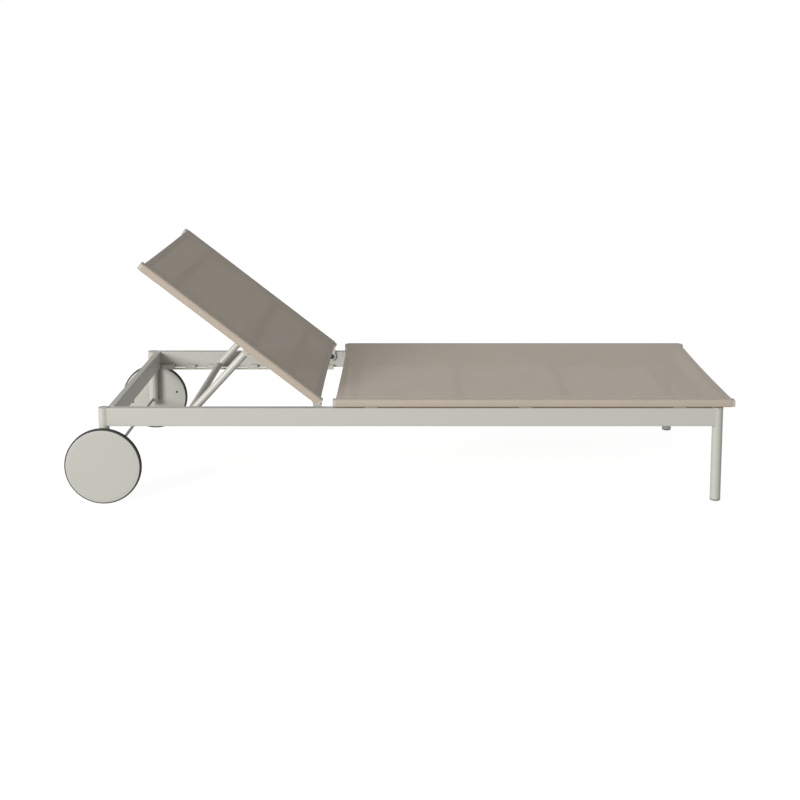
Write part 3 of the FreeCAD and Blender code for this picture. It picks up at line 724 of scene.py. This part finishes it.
# %% The row tree
def row_tree():
    """A shape copied along a path at an even pitch, each copy a little different in size."""
    tree, entry = start_tree("row_of_shapes", [("Pitch", "Float"), ("Shape", "Object"),
                                               ("Unevenness", "Float"), ("Seed", "Int")])
    curve = tree.nodes.new("GeometryNodeMeshToCurve")
    even = tree.nodes.new("GeometryNodeResampleCurve")
    even.mode = "LENGTH"
    shape = tree.nodes.new("GeometryNodeObjectInfo")
    tangent = tree.nodes.new("GeometryNodeInputTangent")
    turn = tree.nodes.new("FunctionNodeAlignRotationToVector")
    turn.axis = "X"
    turn.pivot_axis = "Z"
    chance = tree.nodes.new("FunctionNodeRandomValue")
    chance.inputs["Max"].default_value = 1.0
    size = tree.nodes.new("ShaderNodeMath")
    size.operation = "MULTIPLY_ADD"
    size.inputs[2].default_value = 1.0
    copies = tree.nodes.new("GeometryNodeInstanceOnPoints")
    tree.links.new(entry.outputs["Path"], curve.inputs["Mesh"])
    tree.links.new(curve.outputs["Curve"], even.inputs["Curve"])
    tree.links.new(entry.outputs["Pitch"], even.inputs["Length"])
    tree.links.new(entry.outputs["Shape"], shape.inputs["Object"])
    tree.links.new(tangent.outputs["Tangent"], turn.inputs["Vector"])
    tree.links.new(entry.outputs["Seed"], chance.inputs["Seed"])
    tree.links.new(chance.outputs["Value"], size.inputs[0])
    tree.links.new(entry.outputs["Unevenness"], size.inputs[1])
    tree.links.new(even.outputs["Curve"], copies.inputs["Points"])
    tree.links.new(shape.outputs["Geometry"], copies.inputs["Instance"])
    tree.links.new(turn.outputs["Rotation"], copies.inputs["Rotation"])
    tree.links.new(size.outputs[0], copies.inputs["Scale"])
    end_tree(tree, entry, copies.outputs["Instances"])
    return tree


rows = row_tree()
print("tree", rows.name, len(rows.nodes), "nodes")

# %% [markdown]
# The mark tree is the simplest: every vertex of the incoming mesh is a mark and gets a copy, and all
# copies have the same turn.

# %% The mark tree
def mark_tree():
    """A shape copied to every vertex of a mesh, all turned the same way."""
    tree, entry = start_tree("shape_on_marks", [("Shape", "Object"), ("Turn", "Rotation")])
    shape = tree.nodes.new("GeometryNodeObjectInfo")
    copies = tree.nodes.new("GeometryNodeInstanceOnPoints")
    tree.links.new(entry.outputs["Shape"], shape.inputs["Object"])
    tree.links.new(entry.outputs["Path"], copies.inputs["Points"])
    tree.links.new(shape.outputs["Geometry"], copies.inputs["Instance"])
    tree.links.new(entry.outputs["Turn"], copies.inputs["Rotation"])
    end_tree(tree, entry, copies.outputs["Instances"])
    return tree


marks = mark_tree()
print("tree", marks.name, len(marks.nodes), "nodes")

# %% [markdown]
# The bead tree sweeps a small circle along the path and then moves its skin in and out along the
# normals by a noise, which gives the uneven surface of a hand-made weld.

# %% The bead tree
def bead_tree():
    """A round bead along a path, with the ripple that a welder leaves."""
    tree, entry = start_tree("weld_bead", [("Pitch", "Float"), ("Radius", "Float"), ("Ripple", "Float")])
    curve = tree.nodes.new("GeometryNodeMeshToCurve")
    even = tree.nodes.new("GeometryNodeResampleCurve")
    even.mode = "LENGTH"
    section = tree.nodes.new("GeometryNodeCurvePrimitiveCircle")
    section.inputs["Resolution"].default_value = 7
    skin = tree.nodes.new("GeometryNodeCurveToMesh")
    noise = tree.nodes.new("ShaderNodeTexNoise")
    noise.inputs["Scale"].default_value = 330.0
    centred = tree.nodes.new("ShaderNodeMath")
    centred.operation = "SUBTRACT"
    centred.inputs[1].default_value = 0.5
    lift = tree.nodes.new("ShaderNodeMath")
    lift.operation = "MULTIPLY"
    normal = tree.nodes.new("GeometryNodeInputNormal")
    offset = tree.nodes.new("ShaderNodeVectorMath")
    offset.operation = "SCALE"
    move = tree.nodes.new("GeometryNodeSetPosition")
    tree.links.new(entry.outputs["Path"], curve.inputs["Mesh"])
    tree.links.new(curve.outputs["Curve"], even.inputs["Curve"])
    tree.links.new(entry.outputs["Pitch"], even.inputs["Length"])
    tree.links.new(entry.outputs["Radius"], section.inputs["Radius"])
    tree.links.new(even.outputs["Curve"], skin.inputs["Curve"])
    tree.links.new(section.outputs["Curve"], skin.inputs["Profile Curve"])
    tree.links.new(skin.outputs["Mesh"], move.inputs["Geometry"])
    tree.links.new(noise.outputs["Fac"], centred.inputs[0])
    tree.links.new(centred.outputs[0], lift.inputs[0])
    tree.links.new(entry.outputs["Ripple"], lift.inputs[1])
    tree.links.new(normal.outputs["Normal"], offset.inputs[0])
    tree.links.new(lift.outputs[0], offset.inputs["Scale"])
    tree.links.new(offset.outputs[0], move.inputs["Offset"])
    end_tree(tree, entry, move.outputs["Geometry"])
    return tree


beads = bead_tree()
print("tree", beads.name, len(beads.nodes), "nodes")

# %% [markdown]
# ## Stitching
# A lockstitch shows as a row of short, slightly sunk threads. Two rows hold each sleeve beside its
# profile, and one row holds each hem. One stitch is a small pointed lozenge with a few dozen faces,
# because there are over a thousand of them.

# %% One stitch
STITCH_LENGTH = 3.6 * MM
STITCH_RADIUS = 0.45 * MM
STITCH_PITCH = 4.6 * MM
STITCH_SIDES = 5


def stitch_shape():
    """A short thread along X, thick in the middle and dipping at its ends."""
    work = bmesh.new()
    rings = []
    for along in (-0.5, -0.36, 0.0, 0.36, 0.5):
        radius = STITCH_RADIUS * (1 - (2 * along) ** 4 * 0.75)
        dip = STITCH_RADIUS * 1.2 * (2 * along) ** 2
        ring = []
        for side in range(STITCH_SIDES):
            angle = math.tau * side / STITCH_SIDES
            ring.append(Vector((STITCH_LENGTH * along, radius * math.cos(angle),
                                radius * math.sin(angle) - dip)))
        rings.append(ring)
    add_loft(work, rings)
    return smooth(close_mesh(work, "stitch"), 80)


stitch = bpy.data.objects.new("stitch", stitch_shape())
print("one stitch", len(stitch.data.polygons), "faces")

# %% [markdown]
# The seams follow the cloth's own surface, so the lines dip where the cloth sags.

# %% Rows of stitches
SEAM_FROM_EDGE = (36 * MM, 41 * MM)
HEM_SEAM = 17 * MM
PATH_STEPS = 60


def surface_point(panel, x, y):
    """A point on the upper face of a panel's cloth."""
    lift = STITCH_RADIUS * 0.5
    return Vector((x, y, panel["top"] - sag_at(x, y, half_cloth, panel["bars"]) + lift))


def seam_paths(panel):
    """The lines of stitching on one panel: two along each sleeve and one across each hem."""
    paths = []
    for edge in SEAM_FROM_EDGE:
        for y in (edge - half_cloth, half_cloth - edge):
            places = [panel["head"] + panel["length"] * step / PATH_STEPS
                      for step in range(PATH_STEPS + 1)]
            paths.append([surface_point(panel, x, y) for x in places])
    reach = half_cloth - max(SEAM_FROM_EDGE)
    for x in (panel["head"] + HEM_SEAM, panel["foot"] - HEM_SEAM):
        places = [-reach + 2 * reach * step / PATH_STEPS for step in range(PATH_STEPS + 1)]
        paths.append([surface_point(panel, x, y) for y in places])
    return paths


for panel_name, panel in panels.items():
    mesh = run_tree(rows, path_mesh(seam_paths(panel)), "stitches", Pitch=STITCH_PITCH, Shape=stitch,
                    Unevenness=0.12, Seed=7, Finish=thread)
    mesh.transform(panel["turn"])
    panel["stitches"] = make_piece(panel_name + "_stitches", mesh, thread, panel["body"],
                                   panel_name + "_cloth")
    print(panel["stitches"].name, len(mesh.polygons), "faces")
bpy.data.objects.remove(stitch)

# %% [markdown]
# ## End caps
# The hollow profiles are closed with moulded caps. Each is as large as the profile and has a soft
# outer edge, so it catches a small highlight. The shape is a loft of rounded outlines that shrink
# towards the outside.

# %% Build the caps
CAP_ROUNDING = 6 * MM
CAP_STEPS = ((0.0, 0.15), (0.15, 0.0), (0.6, 0.0), (0.8, 0.25), (0.93, 0.7), (1.0, 1.5), (1.0, 4.0))


def rounded_loop(u0, u1, v0, v1, radius, steps=6):
    """Points (u, v) round a rectangle with round corners."""
    corners = ((u1 - radius, v1 - radius, 0), (u0 + radius, v1 - radius, 90),
               (u0 + radius, v0 + radius, 180), (u1 - radius, v0 + radius, 270))
    points = []
    for u, v, start in corners:
        for step in range(steps + 1):
            angle = math.radians(start + 90 * step / steps)
            points.append((u + radius * math.cos(angle), v + radius * math.sin(angle)))
    return points


def cap_mesh(panel, node):
    """All four end caps of one panel, made where the frame has them."""
    work = bmesh.new()
    boxes = solids_of(node, panel["turn"].inverted())
    centre_x = sum(middle(pair).x for pair in boxes) / len(boxes)
    for low, high in boxes:
        outward = 1 if low.x > centre_x else -1
        base = low.x if outward > 0 else high.x
        rings = []
        for share, inset in CAP_STEPS:
            x = base + outward * share * (high.x - low.x)
            inset *= MM
            loop = rounded_loop(low.y + inset, high.y - inset, low.z + inset, high.z - inset,
                                CAP_ROUNDING - inset)
            rings.append([Vector((x, y, z)) for y, z in loop])
        add_loft(work, rings)
    mesh = close_mesh(work, "caps")
    mesh.transform(panel["turn"])
    return smooth(mesh, 50)


for panel_name, panel in panels.items():
    node = panel_name + "_end_caps"
    caps = make_piece(panel_name + "_caps", cap_mesh(panel, node), cap_plastic, panel["body"], "plugs",
                      [node])
    print(caps.name, len(caps.data.polygons), "faces")

# %% [markdown]
# ## Wheels
# A wheel is a moulded core between two covers, with a solid rubber tyre round it. These are turned
# shapes, so each is a short profile spun about the axle. The left wheel is made first and the right
# one is its mirror image, with its faces turned back to point outwards.

# %% Turning a profile
TURN_STEPS = 96
axle_place = middle(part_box("wheel_tyre_left"))


def turned(profile, closed):
    """Spins (depth, radius) points about the left wheel's axle."""
    work = bmesh.new()
    rings = []
    for depth, radius in profile:
        ring = []
        for step in range(TURN_STEPS):
            angle = math.tau * step / TURN_STEPS
            ring.append(Vector((axle_place.x + radius * math.cos(angle), depth,
                                axle_place.z + radius * math.sin(angle))))
        rings.append(ring)
    if closed:
        rings.append(rings[0])
    add_loft(work, rings, ends=not closed)
    return smooth(close_mesh(work, "turned"), 40)


def mirrored(mesh):
    """The same mesh on the other side of the lounger."""
    other = mesh.copy()
    other.transform(Matrix.Diagonal((1, -1, 1, 1)))
    other.flip_normals()
    return other


def make_pair(name, mesh, finish, slot_name, replaced):
    """A piece of the left wheel and its mirror image on the right wheel."""
    for side, side_mesh in (("left", mesh), ("right", mirrored(mesh))):
        make_piece(name + "_" + side, side_mesh, finish, "wheel_" + side, slot_name,
                   [replaced + "_" + side])
    print(name, len(mesh.polygons), "faces")


print("the axle is at", tuple(axle_place))

# %% [markdown]
# The tyre is a ring with round shoulders and two fine grooves in its tread. Its inner radius is that
# of the covers, so it meets them without a gap.

# %% Tyres
TYRE_SHOULDER = 3 * MM
SHOULDER_STEPS = 6
GROOVE_DEPTH = 0.7 * MM
GROOVE_WIDTH = 1.0 * MM
GROOVE_SHIFT = 2.4 * MM
tyre_low, tyre_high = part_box("wheel_tyre_left")
tyre_radius = (tyre_high.z - tyre_low.z) / 2
cover_low, cover_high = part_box("wheel_outer_cover_left")
disc_radius = (cover_high.z - cover_low.z) / 2


def tyre_profile():
    """Closed section of the tyre: round shoulders, and two fine grooves round the tread."""
    points = [(tyre_low.y, disc_radius)]
    for start, depth in ((180, tyre_low.y + TYRE_SHOULDER), (90, tyre_high.y - TYRE_SHOULDER)):
        for step in range(SHOULDER_STEPS + 1):
            angle = math.radians(start - 90 * step / SHOULDER_STEPS)
            points.append((depth + TYRE_SHOULDER * math.cos(angle),
                           tyre_radius - TYRE_SHOULDER + TYRE_SHOULDER * math.sin(angle)))
        if start == 180:
            points.extend(groove_points())
    return points + [(tyre_high.y, disc_radius)]


def groove_points():
    """Two shallow grooves across the middle of the tread."""
    points = []
    centre = (tyre_low.y + tyre_high.y) / 2
    for shift in (-GROOVE_SHIFT, GROOVE_SHIFT):
        for across, down in ((-1.0, 0.0), (-0.6, 1.0), (0.6, 1.0), (1.0, 0.0)):
            points.append((centre + shift + across * GROOVE_WIDTH / 2,
                           tyre_radius - down * GROOVE_DEPTH))
    return points


make_pair("tyre", turned(tyre_profile(), True), rubber, "tyre", "wheel_tyre")

# %% [markdown]
# The outer cover is a plain disc with a very slight crown. The inner one is a ring, open in the
# middle for the hub, with a soft outer edge.

# %% Covers
COVER_CROWN = 0.5 * MM
COVER_EDGE = 0.9 * MM
CROWN_STEPS = 8
EDGE_STEPS = 4
AXIS_RADIUS = 0.5 * MM
INNER_EDGE = 0.6 * MM
BOSS_RADIUS = 16.2 * MM


def outer_cover_profile():
    """The plain outer disc, very slightly crowned, with a soft edge."""
    points = [(cover_low.y, AXIS_RADIUS), (cover_low.y, disc_radius - COVER_EDGE),
              (cover_low.y, disc_radius)]
    face = cover_high.y - COVER_CROWN
    for step in range(EDGE_STEPS + 1):
        angle = math.radians(90 * step / EDGE_STEPS)
        points.append((face - COVER_EDGE + COVER_EDGE * math.sin(angle),
                       disc_radius - COVER_EDGE + COVER_EDGE * math.cos(angle)))
    for step in range(1, CROWN_STEPS + 1):
        share = 1 - step / CROWN_STEPS
        points.append((cover_high.y - COVER_CROWN * share ** 2,
                       max((disc_radius - COVER_EDGE) * share, AXIS_RADIUS)))
    return points


def inner_cover_profile():
    """Closed section of the ring-shaped inner cover, with a soft outer edge."""
    low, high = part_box("wheel_inner_cover_left")
    outer = (high.z - low.z) / 2
    bevel = INNER_EDGE * 0.3
    return [(low.y, BOSS_RADIUS), (low.y, outer - INNER_EDGE), (low.y + bevel, outer - bevel),
            (low.y + INNER_EDGE, outer), (high.y, outer), (high.y, BOSS_RADIUS)]


make_pair("outer_disc", turned(outer_cover_profile(), False), cover_paint, "wheel_cover",
          "wheel_outer_cover")
make_pair("inner_disc", turned(inner_cover_profile(), True), cover_paint, "wheel_cover",
          "wheel_inner_cover")

# %% [markdown]
# ## Screws, rivets, feet and plugs
# Small turned parts are made once, standing on the Z axis, and then copied to the frame's own places
# with the mark tree. The screw has a domed head with a six-sided socket: the rings of its inner part
# are drawn as hexagons.

# %% Small turned shapes
SMALL_STEPS = 24
DOME_STEPS = 6


def hexagon_radius(angle, flat):
    """Distance from the middle to a hexagon's edge, for the distance to its flats."""
    sector = math.radians(60)
    return flat / math.cos((angle + sector / 2) % sector - sector / 2)


def small_turned(name, profile, socket=()):
    """Spins (height, radius) points about Z, with any socket's points drawn as hexagons."""
    work = bmesh.new()
    rings = []
    outside = [(height, radius, False) for height, radius in profile]
    inside = [(height, radius, True) for height, radius in socket]
    for height, radius, six_sided in outside + inside:
        ring = []
        for step in range(SMALL_STEPS):
            angle = math.tau * step / SMALL_STEPS
            reach = hexagon_radius(angle, radius) if six_sided else radius
            ring.append(Vector((reach * math.cos(angle), reach * math.sin(angle), height)))
        rings.append(ring)
    add_loft(work, rings)
    mesh = smooth(close_mesh(work, name), 40)
    return bpy.data.objects.new(name, mesh)


def dome(radius, height, rim, top):
    """Points (height, radius) of a domed head, from its rim to a given radius at the top."""
    points = [(0.0, radius), (rim, radius)]
    for step in range(1, DOME_STEPS):
        angle = math.radians(90 * step / DOME_STEPS)
        points.append((rim + (height - rim) * math.sin(angle),
                       top + (radius - top) * math.cos(angle)))
    return points + [(height, top)]


print("a dome has", len(dome(2.0, 1.0, 0.1, 0.5)), "rings")

# %% [markdown]
# The rivets and the plugs on top of the legs are domes. The glide feet and the plugs in the lower ends
# of the posts are short stubs with rounded edges.

# %% Screws, rivets, feet and plugs
screw = small_turned("screw", dome(4.0 * MM, 1.6 * MM, 0.3 * MM, 2.4 * MM),
                     [(1.6 * MM, 1.5 * MM), (0.5 * MM, 1.45 * MM), (0.4 * MM, 0.3 * MM)])
rivet = small_turned("rivet", dome(5.0 * MM, 2.0 * MM, 0.2 * MM, 0.3 * MM))
glide_foot = small_turned("glide_foot", [(7.0 * MM, 16.3 * MM), (3.2 * MM, 16.3 * MM),
                                         (2.2 * MM, 16.0 * MM), (0.9 * MM, 15.2 * MM),
                                         (0.2 * MM, 13.8 * MM), (0.0, 12.0 * MM)])
top_plug = small_turned("top_plug", dome(14.0 * MM, 5.0 * MM, 4.0 * MM, 1.0 * MM))
post_plug = small_turned("post_plug", [(4.0 * MM, 16.3 * MM), (1.2 * MM, 16.3 * MM),
                                       (0.3 * MM, 15.6 * MM), (0.0, 14.4 * MM)])
print("small shapes", screw.name, rivet.name, glide_foot.name, top_plug.name, post_plug.name)

# %% [markdown]
# The marks are read from the frame. The face of each solid that looks the right way is where its
# head stands, so the copies need no numbers of their own.

# %% Copies on the frame's own places
UP = Matrix.Identity(3)
TO_RIGHT = Matrix.Rotation(math.radians(90), 3, "X")
TO_LEFT = Matrix.Rotation(math.radians(-90), 3, "X")


def copies(name, shape, places, turn, finish):
    """Copies of a shape on a list of places, as one plain mesh."""
    return run_tree(marks, path_mesh([[place] for place in places]), name, Shape=shape,
                    Turn=turn.to_euler(), Finish=finish)


def joined(meshes, name):
    """Several meshes as one."""
    work = bmesh.new()
    for mesh in meshes:
        work.from_mesh(mesh)
    result = bpy.data.meshes.new(name)
    work.to_mesh(result)
    work.free()
    return smooth(result, 40)


def base_of(pair):
    """The middle of a box's lower face."""
    return Vector((middle(pair).x, middle(pair).y, pair[0].z))


print("helpers", copies.__name__, joined.__name__, base_of.__name__)

# %% [markdown]
# The screws go on the inner face of each wheel's inner cover, and the rivets on the inner faces of the
# racks. Both kinds lie on their sides, so they are turned to look at the middle of the lounger.

# %% Screws and rivets
for side, turn in (("left", TO_RIGHT), ("right", TO_LEFT)):
    node = "wheel_cover_screws_" + side
    inner_low, inner_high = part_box("wheel_inner_cover_" + side)
    face = inner_low.y if side == "left" else inner_high.y
    places = [Vector((middle(pair).x, face, middle(pair).z)) for pair in solids_of(node)]
    mesh = smooth(copies("screws", screw, places, turn, dark_steel), 40)
    make_piece("cover_screws_" + side, mesh, dark_steel, "wheel_" + side, "fixings", [node])
    print("screws on the", side, "wheel", len(places))

rack_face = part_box("rack_left")[0].y
rivets = []
for turn, sign in ((TO_RIGHT, 1), (TO_LEFT, -1)):
    places = [Vector((middle(pair).x, sign * rack_face, middle(pair).z))
              for pair in solids_of("rack_rivets") if middle(pair).y * sign > 0]
    rivets.append(copies("rivets", rivet, places, turn, paint))
make_piece("rivet_heads", joined(rivets, "rivet_heads"), paint, "frame", "fixings", ["rack_rivets"])
print("rivet heads are at", round(rack_face, 4), "either side")

# %% [markdown]
# The feet and plugs stand upright on the lower face of the frame's own solids.

# %% Feet and plugs
for name, node, shape, finish, slot_name in (
        ("glide_feet", "leg_glides", glide_foot, foot_plastic, "glide"),
        ("tube_tops", "tube_top_plugs", top_plug, paint, "plugs"),
        ("post_ends", "rear_post_plugs", post_plug, cap_plastic, "plugs")):
    places = [base_of(pair) for pair in solids_of(node)]
    mesh = smooth(copies(name, shape, places, UP, finish), 40)
    make_piece(name, mesh, finish, "frame", slot_name, [node])
    print(name, len(places))
for shape in (screw, rivet, glide_foot, top_plug, post_plug):
    bpy.data.objects.remove(shape)

# %% [markdown]
# ## Welds
# The tubes are welded all round before they are painted. A bead follows each joint: where a rail
# meets a leg or a post it runs round the rail's outline and bends with the round tube, and where a
# crossbar meets a rail it runs round the crossbar. The paint covers it, so it has the same finish.

# %% Paths of the welds
BEAD_RADIUS = 1.5 * MM
BEAD_PITCH = 1.8 * MM
BEAD_RIPPLE = 0.5 * MM
TUBE_ROUNDING = 3 * MM
LOOP_STEP = 3 * MM


def finer(points, step):
    """The same closed outline with extra points on its long runs."""
    result = []
    for first, second in zip(points, points[1:] + points[:1]):
        pieces = max(1, round(math.dist(first, second) / step))
        for index in range(pieces):
            share = index / pieces
            result.append((first[0] + (second[0] - first[0]) * share,
                           first[1] + (second[1] - first[1]) * share))
    return result


def rail_weld(rail, tube, sign):
    """Round a rail's end, on the surface of the round tube that it meets."""
    rail_low, rail_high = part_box(rail)
    tube_low, tube_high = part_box(tube)
    centre = middle((tube_low, tube_high))
    radius = (tube_high.x - tube_low.x) / 2
    loop = rounded_loop(rail_low.y, rail_high.y, rail_low.z, rail_high.z, TUBE_ROUNDING)
    points = []
    for y, z in finer(loop, LOOP_STEP):
        reach = math.sqrt(max(radius ** 2 - (y - centre.y) ** 2, 0.0))
        points.append(Vector((centre.x + sign * reach, y, z)))
    return points


def bar_welds(low, high, rounding):
    """Round both ends of a crossbar, at the faces that it meets."""
    loop = finer(rounded_loop(low.x, high.x, low.z, high.z, rounding), LOOP_STEP)
    return [[Vector((x, y, z)) for x, z in loop] for y in (low.y, high.y)]


print("bead", BEAD_RADIUS, "in radius, cut every", BEAD_PITCH)

# %% [markdown]
# The welds on the frame and on the backrest are two pieces, because they ride on different bodies.
# The backrest's are drawn lying flat and then turned up with it.

# %% Draw the welds
frame_welds = []
for side in ("left", "right"):
    frame_welds.append(rail_weld("side_rail_" + side, "rear_post_" + side, 1))
    frame_welds.append(rail_weld("side_rail_" + side, "front_leg_" + side, -1))
for name in ("head_crossbar", "foot_crossbar"):
    low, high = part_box(name)
    frame_welds.extend(bar_welds(low, high, TUBE_ROUNDING))
for low, high in solids_of("seat_crossbars"):
    frame_welds.extend(bar_welds(low, high, TUBE_ROUNDING))
back_welds = []
for low, high in solids_of("back_crossbars", lay_flat):
    back_welds.extend(bar_welds(low, high, TUBE_ROUNDING))
for name, paths, place, body, slot_name in (
        ("frame_welds", frame_welds, Matrix.Identity(4), "frame", "frame_metal"),
        ("back_welds", back_welds, turn_up, "backrest", "panel_metal")):
    mesh = run_tree(beads, path_mesh(paths, closed=True), name, Pitch=BEAD_PITCH, Radius=BEAD_RADIUS,
                    Ripple=BEAD_RIPPLE, Finish=paint)
    mesh.transform(place)
    make_piece(name, smooth(mesh, 80), paint, body, slot_name)
    print(name, len(paths), "beads", len(mesh.polygons), "faces")
